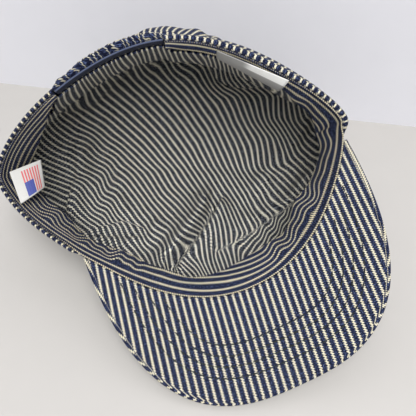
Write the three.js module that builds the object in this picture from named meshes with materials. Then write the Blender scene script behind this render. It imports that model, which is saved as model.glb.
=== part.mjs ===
import * as THREE from 'three';

// Striped work cap lying on its front, head opening facing up and forward.
// Cap frame: x across the cap, y toward the back, z out of the head opening.
// Bearings run around the opening, 0 at the middle of the peak, positive toward +x.

const ROLL = 15.92;                 // right side of the cap lifted off the floor
const LEAN = 43.36;                 // back of the cap lifted off the floor
const REST_X = 4.66;                // cap frame origin above the middle of the footprint
const REST_Y = -2.0;
const REST_Z = 78.13;

const CLOTH = 1.2;                  // one wall of denim with its seams
const GAP = 0.3;                    // between pieces
const BAND_HEIGHT = 34;             // outer band, rim to crown seam
const SWEAT_CLOTH = 1.0;
const CROWN_TUCK = 10;              // crown cloth caught inside the band
const CROWN_TOP = -113;             // level of the crown's top in the cap frame
const BULGE_DROP = 24;              // from the crown seam down to the fullest line
const CROWN_CENTRE = [-14, 6];
const CROWN_ROWS = 19;              // mesh rows from mouth to top
const TUCK_PART = 2 / CROWN_ROWS;   // share of the section inside the band
const FLARE_PART = 6 / CROWN_ROWS;  // and down to the fullest line
const CROWN_SQUARE = 0.8;           // squareness of the crown's shoulder

const PEAK_THICK = 3.6;
const PEAK_HALF_WIDTH = 86;
const PEAK_REACH = 114.4;            // corner line to leading edge, in plan
const PEAK_POWER = 2.75;            // squareness of the leading edge
const PEAK_SLOPE = 0.26;
const PEAK_CAMBER = 3;
const PEAK_CORNER_Y = -20;
const PEAK_BEARING = 76.5;          // the peak's corners

const ELASTIC_FROM = 172;           // gathered part at the back
const ELASTIC_TO = 218;
const TAPE_HEIGHT = 12;
const GATHER_HEIGHT = 28;
const TAPE_INSET = 1.6;
const GATHERS = 13;

// Rim of the head opening. Bulge is how far the crown swells past it, sweat the visible
// height of the sweatband, and lean how far its free edge falls inward.
const RIM = [
  { bearing: -180, radius: 76.5, lift: 17.8, bulge: 22, sweat: 20, lean: 2 },
  { bearing: -165, radius: 80.8, lift: 14.5, bulge: 20, sweat: 22, lean: 2 },
  { bearing: -150, radius: 90.2, lift: 7.0, bulge: 17, sweat: 25, lean: 2.5 },
  { bearing: -135, radius: 103.1, lift: -1.6, bulge: 15, sweat: 29, lean: 3 },
  { bearing: -120, radius: 120.2, lift: -8.5, bulge: 12, sweat: 29, lean: 3 },
  { bearing: -105, radius: 120.1, lift: -12.3, bulge: 10, sweat: 29, lean: 4 },
  { bearing: -90, radius: 98.8, lift: -6.0, bulge: 10, sweat: 29, lean: 5 },
  { bearing: -75, radius: 85.8, lift: 2.5, bulge: 8, sweat: 26, lean: 5 },
  { bearing: -60, radius: 80.2, lift: 6.8, bulge: 5, sweat: 20, lean: 7 },
  { bearing: -45, radius: 77.6, lift: 9.9, bulge: 4, sweat: 17, lean: 8 },
  { bearing: -30, radius: 75.8, lift: 12.1, bulge: 4, sweat: 15, lean: 6 },
  { bearing: -15, radius: 75.1, lift: 13.8, bulge: 4, sweat: 16, lean: 8.5 },
  { bearing: 0, radius: 75.9, lift: 14.6, bulge: 4, sweat: 19, lean: 11 },
  { bearing: 15, radius: 77.4, lift: 14.0, bulge: 5, sweat: 22, lean: 11 },
  { bearing: 30, radius: 77.5, lift: 12.5, bulge: 6, sweat: 26, lean: 9 },
  { bearing: 45, radius: 77.8, lift: 10.2, bulge: 8, sweat: 28, lean: 8 },
  { bearing: 60, radius: 80.8, lift: 7.2, bulge: 9, sweat: 29, lean: 6 },
  { bearing: 75, radius: 86.6, lift: 4.4, bulge: 10, sweat: 29, lean: 5.5 },
  { bearing: 90, radius: 86.4, lift: 8.3, bulge: 10, sweat: 29, lean: 7.5 },
  { bearing: 105, radius: 76.9, lift: 12.0, bulge: 10, sweat: 29, lean: 6 },
  { bearing: 120, radius: 69.3, lift: 13.9, bulge: 11, sweat: 24, lean: 4 },
  { bearing: 135, radius: 68.9, lift: 14.8, bulge: 12, sweat: 20, lean: 2 },
  { bearing: 150, radius: 69.4, lift: 16.0, bulge: 18, sweat: 18, lean: 1.5 },
  { bearing: 165, radius: 73.0, lift: 17.5, bulge: 23, sweat: 18, lean: 1.5 },
];

// Folds of the crown cloth, as ridges raised toward the opening along a line in plan.
const FOLDS = [
  { name: 'left pleat', from: [-84, 50], to: [-98, 14], width: 7, height: 5 },
  { name: 'left hump', from: [-60, 16], to: [-28, -10], width: 14, height: 6 },
  { name: 'front left ridge', from: [-38, -22], to: [-44, -52], width: 9, height: 5 },
  { name: 'front right ridge', from: [-8, -30], to: [-12, -62], width: 8, height: 7 },
  { name: 'right crease', from: [78, -26], to: [34, -50], width: 8, height: 5 },
  { name: 'right pleat', from: [88, 10], to: [86, -22], width: 8, height: 5 },
  { name: 'back bunch', from: [34, 62], to: [74, 30], width: 9, height: 8 },
];

// Waves of the sweatband's free edge, pulled in from the wall.
const WAVES = [
  { bearing: -96, spread: 12, inward: 3.0 },
  { bearing: -70, spread: 9, inward: 2.0 },
  { bearing: 28, spread: 9, inward: -2.5 },
  { bearing: 46, spread: 8, inward: 2.5 },
  { bearing: 68, spread: 9, inward: -2.5 },
  { bearing: 86, spread: 10, inward: 2.0 },
];

const rad = (deg) => deg * Math.PI / 180;
const smooth = (t) => {
  const c = Math.min(1, Math.max(0, t));
  return c * c * (3 - 2 * c);
};

// Reads a column of the rim table at any bearing, smoothly and all the way round.
function rimAt(bearing, column) {
  const n = RIM.length;
  const step = 360 / n;
  const turn = (((bearing + 180) % 360) + 360) % 360;
  const i = Math.floor(turn / step);
  const t = turn / step - i;
  const [a, b, c, d] = [-1, 0, 1, 2].map((k) => RIM[(i + k + n) % n][column]);
  return b + 0.5 * t * (c - a + t * (2 * a - 5 * b + 4 * c - d + t * (3 * (b - c) + d - a)));
}

function rimPlan(bearing) {
  const r = rimAt(bearing, 'radius');
  const a = rad(bearing);
  return [r * Math.sin(a), -r * Math.cos(a)];
}

// Level of the peak's visible underside over the cap's plan.
function peakLevel(x, y) {
  return -PEAK_SLOPE * (y - PEAK_CORNER_Y) + PEAK_CAMBER * (x / PEAK_HALF_WIDTH) ** 2;
}

// Level of the rim, the peak's own between its corners and the table's past them.
function rimLevel(bearing) {
  const [x, y] = rimPlan(bearing);
  const past = smooth((Math.abs(bearing) - PEAK_BEARING - 1.5) / 8);
  return peakLevel(x, y) * (1 - past) + rimAt(bearing, 'lift') * past;
}

// A point by the rim wall, inset square to the wall and dropped from the rim.
function wallPoint(bearing, inset, drop) {
  const [x, y] = rimPlan(bearing);
  const [ax, ay] = rimPlan(bearing - 2);
  const [bx, by] = rimPlan(bearing + 2);
  const length = Math.hypot(bx - ax, by - ay);
  const nx = (by - ay) / length;
  const ny = -(bx - ax) / length;
  return new THREE.Vector3(x - nx * inset, y - ny * inset, rimLevel(bearing) - drop);
}

// Bearings shared by every wall, so that neighbours keep an even gap.
const STEP = 4;
function stations(from, to) {
  const list = [from];
  for (let b = Math.ceil((from + 0.5) / STEP) * STEP; b < to - 0.5; b += STEP) {
    list.push(b);
  }
  list.push(to);
  return list;
}

const restTurn = new THREE.Matrix4().makeRotationY(-rad(ROLL))
  .multiply(new THREE.Matrix4().makeRotationX(rad(LEAN)));
const restFrame = new THREE.Matrix4().makeTranslation(REST_X, REST_Y, REST_Z).multiply(restTurn);
const capFrame = restFrame.clone().invert();

// Keeps a cap-frame point at or above a level over the floor, easing in near it.
function liftOffFloor(point, level, ease) {
  const p = point.clone().applyMatrix4(restFrame);
  const over = p.z - level;
  if (over <= 0) {
    p.z = level;
  } else if (over < ease) {
    p.z = level + over * over / ease * (2 - over / ease);
  }
  return p.applyMatrix4(capFrame);
}

// Closed wall between two faces given on the same grid, open ends capped.
function wallBody(rows, cols, around, faceA, faceB) {
  const points = [];
  const index = [];
  const at = (side, i, j) => side * rows * cols + i * cols + (around ? j % cols : j);
  for (const face of [faceA, faceB]) {
    for (let i = 0; i < rows; i += 1) {
      for (let j = 0; j < cols; j += 1) {
        const p = face(i, j);
        points.push(p.x, p.y, p.z);
      }
    }
  }
  const quad = (a, b, c, d) => index.push(a, b, c, a, c, d);
  const last = around ? cols : cols - 1;
  for (let i = 0; i < rows - 1; i += 1) {
    for (let j = 0; j < last; j += 1) {
      quad(at(0, i, j), at(0, i, j + 1), at(0, i + 1, j + 1), at(0, i + 1, j));
      quad(at(1, i, j), at(1, i + 1, j), at(1, i + 1, j + 1), at(1, i, j + 1));
    }
  }
  for (let j = 0; j < last; j += 1) {
    quad(at(0, 0, j), at(1, 0, j), at(1, 0, j + 1), at(0, 0, j + 1));
    quad(at(0, rows - 1, j), at(0, rows - 1, j + 1), at(1, rows - 1, j + 1), at(1, rows - 1, j));
  }
  if (!around) {
    for (let i = 0; i < rows - 1; i += 1) {
      quad(at(0, i, 0), at(0, i + 1, 0), at(1, i + 1, 0), at(1, i, 0));
      quad(at(0, i, cols - 1), at(1, i, cols - 1), at(1, i + 1, cols - 1), at(0, i + 1, cols - 1));
    }
  }
  return solid(points, index);
}

// Builds the geometry and turns every face outward.
function solid(points, index) {
  let volume = 0;
  const v = (k) => new THREE.Vector3(points[3 * k], points[3 * k + 1], points[3 * k + 2]);
  for (let k = 0; k < index.length; k += 3) {
    volume += v(index[k]).dot(v(index[k + 1]).cross(v(index[k + 2])));
  }
  if (volume < 0) {
    for (let k = 0; k < index.length; k += 3) {
      [index[k + 1], index[k + 2]] = [index[k + 2], index[k + 1]];
    }
  }
  const geometry = new THREE.BufferGeometry();
  geometry.setAttribute('position', new THREE.Float32BufferAttribute(points, 3));
  geometry.setIndex(index);
  geometry.computeVertexNormals();
  return geometry;
}

function makeMesh(name, geometry, colour, roughness) {
  const material = new THREE.MeshStandardMaterial({ color: colour, roughness, metalness: 0 });
  const mesh = new THREE.Mesh(geometry, material);
  mesh.name = name;
  return mesh;
}

// Drop of the outer band's edge, passing under the peak's board at the front.
function bandEdgeDrop(bearing) {
  const clear = smooth((Math.abs(bearing) - PEAK_BEARING - 1.5) / 5);
  return (PEAK_THICK + 3 * GAP) * (1 - clear);
}

function outerBand() {
  const bearings = stations(ELASTIC_TO - 360 + 0.3, ELASTIC_FROM - 0.3);
  const rows = 3;
  const face = (inset) => (i, j) => {
    const top = bandEdgeDrop(bearings[j]);
    return wallPoint(bearings[j], inset, top + (BAND_HEIGHT - top) * i / (rows - 1));
  };
  return wallBody(rows, bearings.length, false, face(0), face(CLOTH));
}

function sweatband() {
  const bearings = stations(ELASTIC_TO - 360 + 0.3, ELASTIC_FROM - 0.3);
  const rows = 4;
  const face = (extra) => (i, j) => {
    const t = i / (rows - 1);
    let inset = CLOTH + GAP + (CLOTH + 2 * GAP) * smooth(t / 0.6);
    inset += rimAt(bearings[j], 'lean') * t;
    for (const wave of WAVES) {
      const off = (bearings[j] - wave.bearing) / wave.spread;
      inset += wave.inward * t * t * Math.exp(-off * off);
    }
    return wallPoint(bearings[j], inset + extra, rimAt(bearings[j], 'sweat') * t);
  };
  return wallBody(rows, bearings.length, false, face(0), face(SWEAT_CLOTH));
}

// Middle of the crown cloth. t runs from the mouth inside the band to the top's centre.
function crownMiddle(bearing, t) {
  const inset = CLOTH + GAP + CLOTH / 2;
  const seam = BAND_HEIGHT + 0.9;
  if (t < TUCK_PART) {
    return wallPoint(bearing, inset, seam - CROWN_TUCK * (1 - t / TUCK_PART));
  }
  const bulge = rimAt(bearing, 'bulge');
  if (t < FLARE_PART) {
    const u = (t - TUCK_PART) / (FLARE_PART - TUCK_PART);
    return wallPoint(bearing, inset - bulge * Math.sin(u * Math.PI / 2), seam + BULGE_DROP * u);
  }
  const p = wallPoint(bearing, inset - bulge, seam + BULGE_DROP);
  const phi = (t - FLARE_PART) / (1 - FLARE_PART) * Math.PI / 2;
  const reach = Math.max(0, Math.cos(phi)) ** CROWN_SQUARE;
  const fall = Math.sin(phi) ** CROWN_SQUARE;
  return new THREE.Vector3(
    CROWN_CENTRE[0] + (p.x - CROWN_CENTRE[0]) * reach,
    CROWN_CENTRE[1] + (p.y - CROWN_CENTRE[1]) * reach,
    p.z + (CROWN_TOP - p.z) * fall,
  );
}

// Height of all the folds at a place in plan, fading out toward the mouth.
function foldHeight(x, y, t) {
  let height = 0;
  for (const fold of FOLDS) {
    const [ax, ay] = fold.from;
    const dx = fold.to[0] - ax;
    const dy = fold.to[1] - ay;
    const along = ((x - ax) * dx + (y - ay) * dy) / (dx * dx + dy * dy);
    const held = Math.min(1, Math.max(0, along));
    const off = Math.hypot(x - ax - held * dx, y - ay - held * dy) / fold.width;
    height += fold.height * Math.exp(-off * off);
  }
  return height * smooth((t - 0.3) / 0.15);
}

function crown() {
  const cols = 360 / STEP;
  const rows = CROWN_ROWS;
  const half = CLOTH / 2;
  const mid = [];
  for (let i = 0; i < rows; i += 1) {
    const row = [];
    for (let j = 0; j < cols; j += 1) {
      const t = i / rows;
      const p = liftOffFloor(crownMiddle(-180 + 360 * j / cols, t), half, 10);
      p.z += foldHeight(p.x, p.y, t);
      row.push(p);
    }
    mid.push(row);
  }
  const tip = new THREE.Vector3(CROWN_CENTRE[0], CROWN_CENTRE[1], CROWN_TOP);
  const pole = liftOffFloor(tip, half, 10);
  pole.z += foldHeight(pole.x, pole.y, 1);
  // Cloth normal at a grid point, pointing into the cap.
  const normalAt = (i, j) => {
    const left = mid[i][(j + cols - 1) % cols];
    const right = mid[i][(j + 1) % cols];
    const up = mid[Math.max(0, i - 1)][j];
    const down = i + 1 < rows ? mid[i + 1][j] : pole;
    const n = right.clone().sub(left).cross(down.clone().sub(up)).normalize();
    const inward = new THREE.Vector3(-mid[i][j].x * 0.4, -mid[i][j].y * 0.4, 60);
    return n.dot(inward) < 0 ? n.negate() : n;
  };
  const up = new THREE.Vector3(0, 0, 1).transformDirection(capFrame);
  const points = [];
  const index = [];
  const onFloor = (p) => p.clone().applyMatrix4(restFrame).z < half + 0.02;
  for (const side of [-1, 1]) {
    for (let i = 0; i < rows; i += 1) {
      for (let j = 0; j < cols; j += 1) {
        const n = onFloor(mid[i][j]) ? up : normalAt(i, j);
        const p = mid[i][j].clone().addScaledVector(n, side * half);
        const held = side < 0 ? liftOffFloor(p, 0, 0) : p;
        points.push(held.x, held.y, held.z);
      }
    }
  }
  const count = rows * cols;
  for (const side of [-1, 1]) {
    const p = pole.clone().addScaledVector(up, side * half);
    points.push(p.x, p.y, p.z);
  }
  const at = (side, i, j) => side * count + i * cols + j % cols;
  for (let j = 0; j < cols; j += 1) {
    for (let i = 0; i < rows - 1; i += 1) {
      index.push(at(0, i, j), at(0, i, j + 1), at(0, i + 1, j + 1));
      index.push(at(0, i, j), at(0, i + 1, j + 1), at(0, i + 1, j));
      index.push(at(1, i, j), at(1, i + 1, j + 1), at(1, i, j + 1));
      index.push(at(1, i, j), at(1, i + 1, j), at(1, i + 1, j + 1));
    }
    index.push(at(0, rows - 1, j), at(0, rows - 1, j + 1), 2 * count);
    index.push(at(1, rows - 1, j + 1), at(1, rows - 1, j), 2 * count + 1);
    index.push(at(0, 0, j), at(1, 0, j), at(1, 0, j + 1));
    index.push(at(0, 0, j), at(1, 0, j + 1), at(0, 0, j + 1));
  }
  return solid(points, index);
}

function peak() {
  const cols = 49;
  const rows = 6;
  const plan = (i, j) => {
    const s = j / (cols - 1) * 2 - 1;
    const root = wallPoint(s * PEAK_BEARING, CLOTH, 0);
    const phi = s * Math.PI / 2;
    const power = 2 / PEAK_POWER;
    const x = Math.sign(s) * PEAK_HALF_WIDTH * Math.abs(Math.sin(phi)) ** power;
    const y = PEAK_CORNER_Y - PEAK_REACH * Math.max(0, Math.cos(phi)) ** power;
    const t = i / (rows - 1);
    return [root.x + (x - root.x) * t, root.y + (y - root.y) * t];
  };
  const face = (under) => (i, j) => {
    const [x, y] = plan(i, j);
    const round = i === rows - 1 ? 0.8 : 0;
    const z = peakLevel(x, y) + (under ? -round : round - PEAK_THICK);
    return new THREE.Vector3(x, y, z);
  };
  return wallBody(rows, cols, false, face(true), face(false));
}

// Gathered cloth over the elastic, in even ripples.
function backGather() {
  const cols = GATHERS * 6 + 1;
  const rows = 3;
  const face = (outside) => (i, j) => {
    const s = j / (cols - 1);
    const bearing = ELASTIC_FROM + 0.3 + (ELASTIC_TO - ELASTIC_FROM - 0.6) * s;
    const t = i / (rows - 1);
    const fade = Math.sin(Math.PI * s) ** 0.3;
    const ripple = (1 - Math.cos(2 * Math.PI * GATHERS * s)) * 0.8 * fade;
    const puff = 2.2 * fade * (1 - 0.5 * t);
    const inset = outside ? -puff - ripple : CLOTH - puff - ripple;
    return wallPoint(bearing, inset, GATHER_HEIGHT * t - fade);
  };
  return wallBody(rows, cols, false, face(true), face(false));
}

function elasticTape() {
  const cols = 21;
  const rows = 3;
  const face = (inset) => (i, j) => {
    const bearing = ELASTIC_FROM + 0.6 + (ELASTIC_TO - ELASTIC_FROM - 1.2) * j / (cols - 1);
    return wallPoint(bearing, inset, TAPE_HEIGHT * i / (rows - 1));
  };
  return wallBody(rows, cols, false, face(TAPE_INSET), face(TAPE_INSET + CLOTH));
}

// A cloth tab on four corners given as sewn edge and free edge, bowed between them.
function tab(sewn, free, bow, thick) {
  const cols = 7;
  const rows = 7;
  const [a, b] = sewn.map((p) => new THREE.Vector3(...p));
  const [c, d] = free.map((p) => new THREE.Vector3(...p));
  const normal = b.clone().sub(a).cross(c.clone().sub(a)).normalize();
  const face = (side) => (i, j) => {
    const s = j / (cols - 1);
    const t = i / (rows - 1);
    const p = a.clone().lerp(b, s).lerp(c.clone().lerp(d, s), t);
    const lift = bow * Math.sin(Math.PI * t) + side * thick / 2;
    return p.addScaledVector(normal, lift);
  };
  return wallBody(rows, cols, false, face(1), face(-1));
}

function flagLabel() {
  const sewn = [[-108.3, 46.8, -13.2], [-110.7, 26.2, -13.6]];
  const free = [[-91.5, 48.2, -27], [-96.8, 31.1, -27]];
  return tab(sewn, free, 2, 1);
}

function rearLabel() {
  const sewn = [[34.0, 55.4, 14.6], [65.0, 24.3, 12.2]];
  const free = [[33.0, 52.6, 3.5], [60.4, 22.8, -1.5]];
  return tab(sewn, free, -1.2, 1);
}

const object = new THREE.Group();
object.name = 'striped_cap';
const cap = new THREE.Group();
cap.name = 'cap_at_rest';
cap.applyMatrix4(restFrame);
cap.add(
  makeMesh('crown', crown(), '#454a5c', 0.9),
  makeMesh('outer_band', outerBand(), '#2a3358', 0.88),
  makeMesh('sweatband', sweatband(), '#2c365c', 0.88),
  makeMesh('peak', peak(), '#2b355e', 0.86),
  makeMesh('back_gather', backGather(), '#2d375c', 0.9),
  makeMesh('elastic_tape', elasticTape(), '#27305a', 0.85),
  makeMesh('flag_label', flagLabel(), '#e9e6e1', 0.75),
  makeMesh('rear_label', rearLabel(), '#dddbd6', 0.75),
);
object.add(cap);

export default object;
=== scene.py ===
import bpy
import bmesh
import math
import numpy as np
from mathutils import Matrix, Vector


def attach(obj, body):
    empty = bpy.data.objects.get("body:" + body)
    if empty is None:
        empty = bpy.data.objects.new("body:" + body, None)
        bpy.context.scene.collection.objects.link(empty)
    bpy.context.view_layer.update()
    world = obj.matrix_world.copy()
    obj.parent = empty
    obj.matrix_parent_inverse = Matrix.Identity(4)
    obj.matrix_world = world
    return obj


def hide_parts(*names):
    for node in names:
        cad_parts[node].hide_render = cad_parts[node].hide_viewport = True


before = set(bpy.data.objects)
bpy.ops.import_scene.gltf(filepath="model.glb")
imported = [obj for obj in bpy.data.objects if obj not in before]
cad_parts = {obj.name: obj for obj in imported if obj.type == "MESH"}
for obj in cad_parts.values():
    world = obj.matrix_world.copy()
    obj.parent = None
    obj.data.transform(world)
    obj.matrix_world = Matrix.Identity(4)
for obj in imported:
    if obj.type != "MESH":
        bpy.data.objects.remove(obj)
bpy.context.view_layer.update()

mm = 0.001
pitch = 4.2          # one navy and one cream stripe of the denim, mm

# the cap's own frame: x across, y toward the back, z out of the head opening, in mm
rest = {"roll": 15.92, "lean": 43.36, "shift": (4.66, -2.0, 78.13)}
roll = math.radians(-rest["roll"])
lean = math.radians(rest["lean"])
turnRoll = np.array([[math.cos(roll), 0, math.sin(roll)], [0, 1, 0], [-math.sin(roll), 0, math.cos(roll)]])
turnLean = np.array([[1, 0, 0], [0, math.cos(lean), -math.sin(lean)], [0, math.sin(lean), math.cos(lean)]])
capTurn = turnRoll @ turnLean
capShift = np.array(rest["shift"])


def toFloor(points):
    return points @ capTurn.T + capShift


def toCap(points):
    return (points - capShift) @ capTurn


def unit(vectors):
    return vectors / (np.linalg.norm(vectors, axis=-1, keepdims=True) + 1e-12)


def ease(t):
    t = np.clip(t, 0, 1)
    return t * t * (3 - 2 * t)


# camera where the photograph was taken from, and where it sees a point of the floor's frame
view = {"height": 48.0, "bearing": -18.754, "focus": 460, "frame": 416, "from": (-60.78, -191.40, 187.74)}
viewHigh, viewTurn = math.radians(view["height"]), math.radians(view["bearing"])
viewBack = np.array([math.sin(viewTurn) * math.cos(viewHigh), -math.cos(viewTurn) * math.cos(viewHigh),
                     math.sin(viewHigh)])
viewRight = np.array([math.cos(viewTurn), math.sin(viewTurn), 0])
viewUp = np.cross(viewBack, viewRight)
cameraPlace = capShift + np.array(view["from"])


def inPicture(points):
    away = points - cameraPlace
    depth = -(away @ viewBack)
    half = view["frame"] / 2
    return np.stack([half + view["focus"] * (away @ viewRight) / depth,
                     half - view["focus"] * (away @ viewUp) / depth], -1)


# rim of the head opening: an even ring pushed out or in, and up or down, about a few bearings, 0 at the
# middle of the peak; reach is how far a push spreads before and after its bearing, sharp how pointed it is
ring = {
    "radius": 76, "level": 16.3, "tilt": 1.6,
    "out": (
        {"name": "left corner", "at": -112, "reach": (33, 28), "sharp": (1.5, 1.5), "by": 50},
        {"name": "right corner", "at": 84, "reach": (22, 20), "sharp": (1.4, 1.4), "by": 16},
        {"name": "back right flat", "at": 132, "reach": (40, 40), "sharp": (2, 2), "by": -8},
    ),
    "up": (
        {"name": "left corner", "at": -107, "reach": (41, 40), "sharp": (2, 1.3), "by": -29.5},
        {"name": "right corner", "at": 77, "reach": (34, 29), "sharp": (1.4, 1.1), "by": -12.3},
    ),
}

# along the rim: swell of the crown past it, height of the sweatband that shows and its lean inward,
# and how far the outer band stands out just below the rim
rimNames = ("bearing", "bulge", "sweat", "lean", "flare")
rimTable = (
    (-180, 26, 20, 2.0, 1.0),
    (-165, 23, 14, 1.0, 1.0),
    (-150, 17, 8, 0.5, 1.3),
    (-135, 15, 13, 0.6, 1.3),
    (-120, 12, 29, 6.0, 0.4),
    (-105, 10, 29, 4.5, 0.0),
    (-90, 10, 27, 4.2, 0.0),
    (-75, 8, 20, 3.2, 0.0),
    (-60, 5, 20, 7.0, 0.0),
    (-45, 4, 17, 8.0, 0.0),
    (-30, 4, 15, 6.0, 0.0),
    (-15, 4, 16, 8.5, 0.0),
    (0, 4, 19, 11.0, 0.0),
    (15, 5, 22, 11.0, 0.0),
    (30, 6, 26, 9.0, 0.0),
    (45, 8, 28, 8.0, 0.0),
    (60, 9, 29, 6.0, 0.0),
    (75, 10, 29, 5.5, 0.6),
    (90, 10, 26, 6.0, 1.2),
    (105, 14, 15, 3.0, 2.2),
    (120, 17, 10, 1.5, 3.0),
    (135, 19, 9, 1.2, 3.0),
    (150, 24, 8, 1.5, 2.2),
    (165, 28, 8, 1.5, 1.6),
)
rimColumn = {name: np.array([row[k] for row in rimTable], float) for k, name in enumerate(rimNames)}

cap = {
    "bandHeight": 34, "crownTop": -113, "bulgeDrop": 24, "crownCentre": (-14, 6), "crownSquare": 0.8,
    "tuckPart": 2 / 19, "flarePart": 6 / 19, "crownTuck": 10, "cloth": 1.2, "gap": 0.3,
    "elasticFrom": 172, "elasticTo": 218, "peakBearing": 76.5,
}
board = {
    "thick": 3.6, "halfWidth": 86, "reach": 112.3, "power": 2.75, "slope": 0.26, "camber": 3, "cornerY": -20,
}


def signedBearing(bearing):
    return np.mod(np.asarray(bearing, float) + 180, 360) - 180


def pushedBy(bearing, pushes):
    total = 0 * bearing
    for push in pushes:
        away = signedBearing(bearing - push["at"])
        reach = np.where(away < 0, *push["reach"])
        sharp = np.where(away < 0, *push["sharp"])
        total = total + push["by"] * np.exp(-(np.abs(away) / reach) ** sharp)
    return total


def rimAt(bearing, name):
    # radius and lift come from the ring, the rest from a smooth curve through the table's rows
    bearing = np.asarray(bearing, float)
    if name == "radius":
        return ring["radius"] + pushedBy(bearing, ring["out"])
    if name == "lift":
        return ring["level"] - ring["tilt"] * np.cos(np.radians(bearing)) + pushedBy(bearing, ring["up"])
    values = rimColumn[name]
    n = len(values)
    turn = np.mod(bearing + 180, 360) / (360 / n)
    i = np.floor(turn).astype(int)
    t = turn - i
    a, b, c, d = (values[(i + k) % n] for k in (-1, 0, 1, 2))
    return b + 0.5 * t * (c - a + t * (2 * a - 5 * b + 4 * c - d + t * (3 * (b - c) + d - a)))


def rimPlan(bearing):
    r = rimAt(bearing, "radius")
    a = np.radians(bearing)
    return np.stack([r * np.sin(a), -r * np.cos(a)], -1)


def boardLevel(x, y):
    return -board["slope"] * (y - board["cornerY"]) + board["camber"] * (x / board["halfWidth"]) ** 2


def pastPeak(bearing, over):
    return ease((np.abs(signedBearing(bearing)) - cap["peakBearing"] - 1.5) / over)


def rimLevel(bearing):
    p = rimPlan(bearing)
    past = pastPeak(bearing, 8)
    return boardLevel(p[..., 0], p[..., 1]) * (1 - past) + rimAt(bearing, "lift") * past


def wallPoint(bearing, inset, drop):
    bearing = np.asarray(bearing, float)
    p = rimPlan(bearing)
    along = unit(rimPlan(bearing + 2) - rimPlan(bearing - 2))
    out = np.stack([along[..., 1], -along[..., 0]], -1)
    plan = p - out * np.asarray(inset, float)[..., None]
    return np.concatenate([plan, (rimLevel(bearing) - drop)[..., None]], -1)


rimTurns = np.linspace(-180, 180, 1441)
rimSteps = np.linalg.norm(np.diff(wallPoint(rimTurns, 0 * rimTurns, 0), axis=0), axis=1)
rimRun = np.concatenate([[0], np.cumsum(rimSteps)])


def rimLength(bearing):
    # run along the rim in mm, carried on past a full turn
    turns = np.floor((bearing + 180) / 360)
    return np.interp(bearing - 360 * turns, rimTurns, rimRun) + turns * rimRun[-1]


def addObject(name, data):
    made = bpy.data.objects.new(name, data)
    bpy.context.scene.collection.objects.link(made)
    return made


def addMesh(name, bm, finishes):
    mesh = bpy.data.meshes.new(name)
    bm.to_mesh(mesh)
    bm.free()
    for finish in finishes:
        mesh.materials.append(finish)
    return addObject(name, mesh)


# a sheet of cloth: a square grid whose corners are moved by place(u, v) in the cap's frame,
# with weave(u, v, points) giving the cloth coordinates, one unit to a stripe
def makeSheet(name, look, place, weave, finishes, lapped=False):
    bm = bmesh.new()
    cloth = bm.loops.layers.uv.new("cloth")
    bmesh.ops.create_grid(bm, x_segments=look["across"], y_segments=look["rows"], size=0.5)
    flat = np.array([v.co[:2] for v in bm.verts]) + 0.5
    points = place(flat[:, 0], flat[:, 1])
    uv = weave(flat[:, 0], flat[:, 1], points)
    floorPoints = toFloor(points) * mm
    for vert, p in zip(bm.verts, floorPoints):
        vert.co = p
    for face in bm.faces:
        for loop in face.loops:
            loop[cloth].uv = uv[loop.vert.index]
        face.smooth = True
    if lapped:
        bmesh.ops.remove_doubles(bm, verts=bm.verts[:], dist=0.02 * mm)
    piece = addMesh(name, bm, finishes)
    if "thick" in look:
        wall = piece.modifiers.new("thickness", "SOLIDIFY")
        wall.thickness = look["thick"] * mm
        wall.offset = 0
        wall.use_even_offset = False
        if len(finishes) > 1:
            wall.material_offset = 1
            wall.material_offset_rim = 1
    return piece


def dress(piece, node):
    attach(piece, "root")
    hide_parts(node)
    print("made", piece.name)


# shader maths: a wire is one socket, and sums of wires add their own nodes
class Wire:
    def __init__(self, finish, socket):
        self.finish = finish
        self.socket = socket

    def math(self, operation, *others):
        return self.finish.math(operation, self, *others)

    def __add__(self, other):
        return self.math("ADD", other)

    def __radd__(self, other):
        return self.finish.math("ADD", other, self)

    def __sub__(self, other):
        return self.math("SUBTRACT", other)

    def __rsub__(self, other):
        return self.finish.math("SUBTRACT", other, self)

    def __mul__(self, other):
        return self.math("MULTIPLY", other)

    def __rmul__(self, other):
        return self.finish.math("MULTIPLY", other, self)

    def __mod__(self, other):
        return self.math("FLOORED_MODULO", other)

    def __gt__(self, other):
        return self.math("GREATER_THAN", other)

    def __lt__(self, other):
        return self.math("LESS_THAN", other)


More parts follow.
